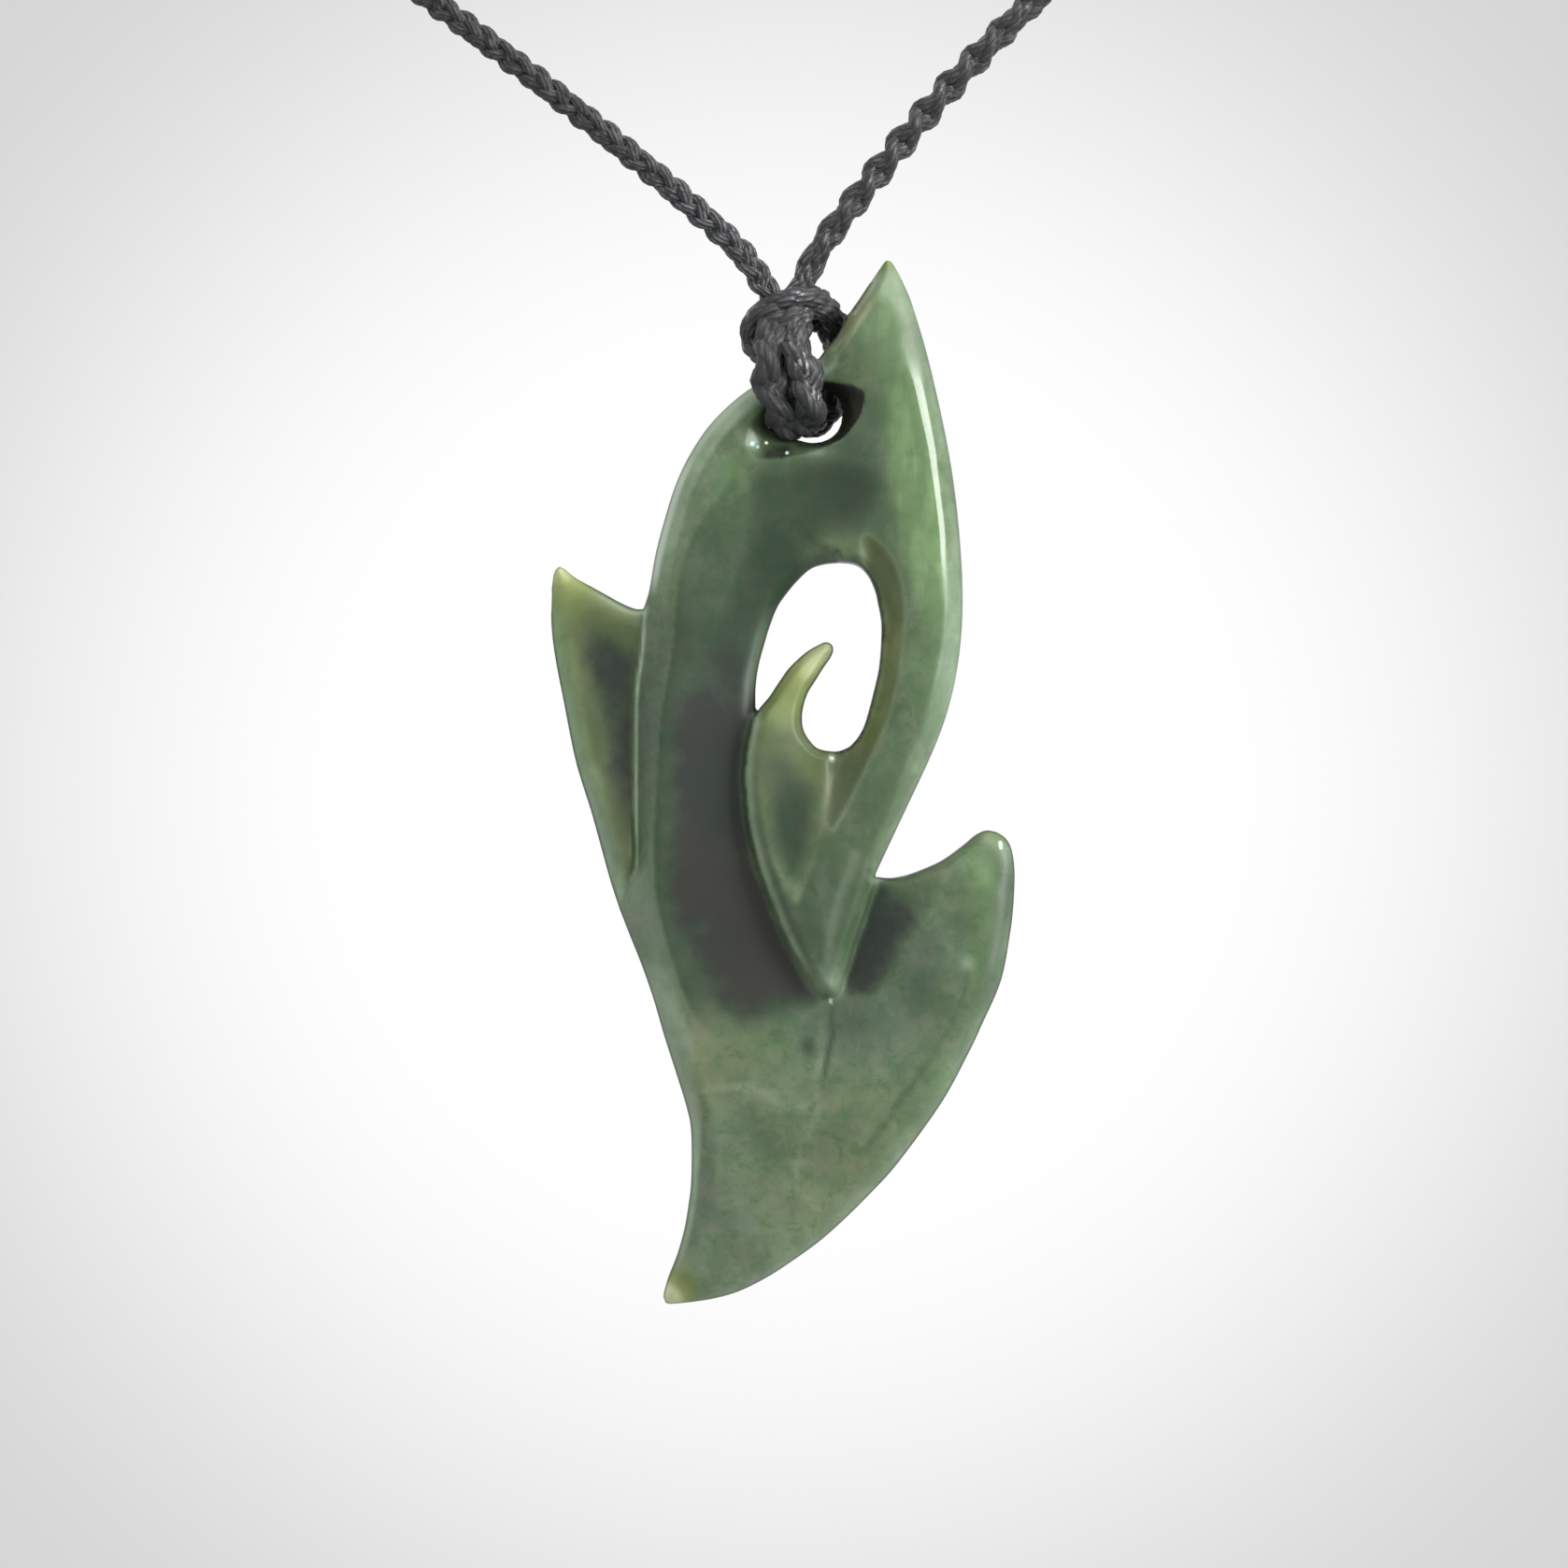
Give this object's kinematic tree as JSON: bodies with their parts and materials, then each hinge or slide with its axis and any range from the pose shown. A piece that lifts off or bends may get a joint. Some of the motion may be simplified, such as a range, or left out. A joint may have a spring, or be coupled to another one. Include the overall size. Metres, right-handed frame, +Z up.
{
  "type": "jade hook pendant on a plaited neck cord",
  "caption": "Carved green stone pendant, a pierced hook form with a curled inner hook, fins and a fish tail, hanging in a black plaited neck cord tied in a loop.",
  "frame": {"origin": "where the cord's sliding knot rests on the nape of the neck", "axes": "+Z up, +X to the right as the wearer is seen from the front, +Y away from the viewer, from the pendant towards the nape"},
  "size_m": [0.1266, 0.1223, 0.1895],
  "materials": {
    "jade": "polished translucent nephrite, dark green where it is thick and yellow green at its thin tips",
    "cord": "black waxed thread, plaited, with a dull sheen"
  },
  "bodies": {
    "necklace": {"neck_cord": "cord", "knot": "cord", "hanging_loop_left": "cord", "hanging_loop_right": "cord", "slide_knot": "cord"},
    "pendant": {"stone": "jade"}
  },
  "joints": [
    {"name": "pendant_swing", "type": "hinge", "parent": "necklace", "child": "pendant", "pos_m": [0, -0.1123, -0.1255], "axis": [1, 0, 0], "range_deg": [-15, 15]}
  ]
}
